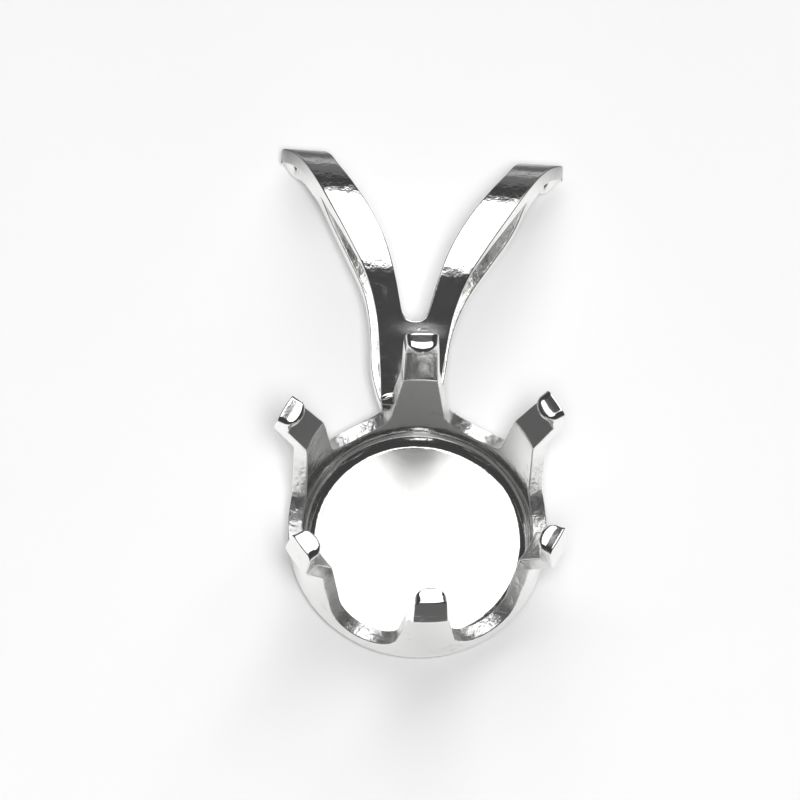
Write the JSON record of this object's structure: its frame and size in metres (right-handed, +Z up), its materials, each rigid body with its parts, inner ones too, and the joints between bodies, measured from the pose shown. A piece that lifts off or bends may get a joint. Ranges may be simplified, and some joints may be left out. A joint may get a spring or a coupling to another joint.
{
  "type": "prong setting pendant with bail",
  "caption": "Empty pronged cup for a round stone, stamped from polished sheet metal, with a folded V-shaped bail soldered behind its top prong; lies on its back.",
  "frame": {"origin": "centre of the cup's flat underside, which rests on the table", "axes": "+Z up out of the cup, +Y from the cup towards the bail, +X to the right when seen from the foot end"},
  "size_m": [0.0088, 0.0172, 0.0061],
  "materials": {
    "polished_silver": "polished"
  },
  "bodies": {
    "root": {"prong_setting": "polished_silver"}
  },
  "joints": []
}
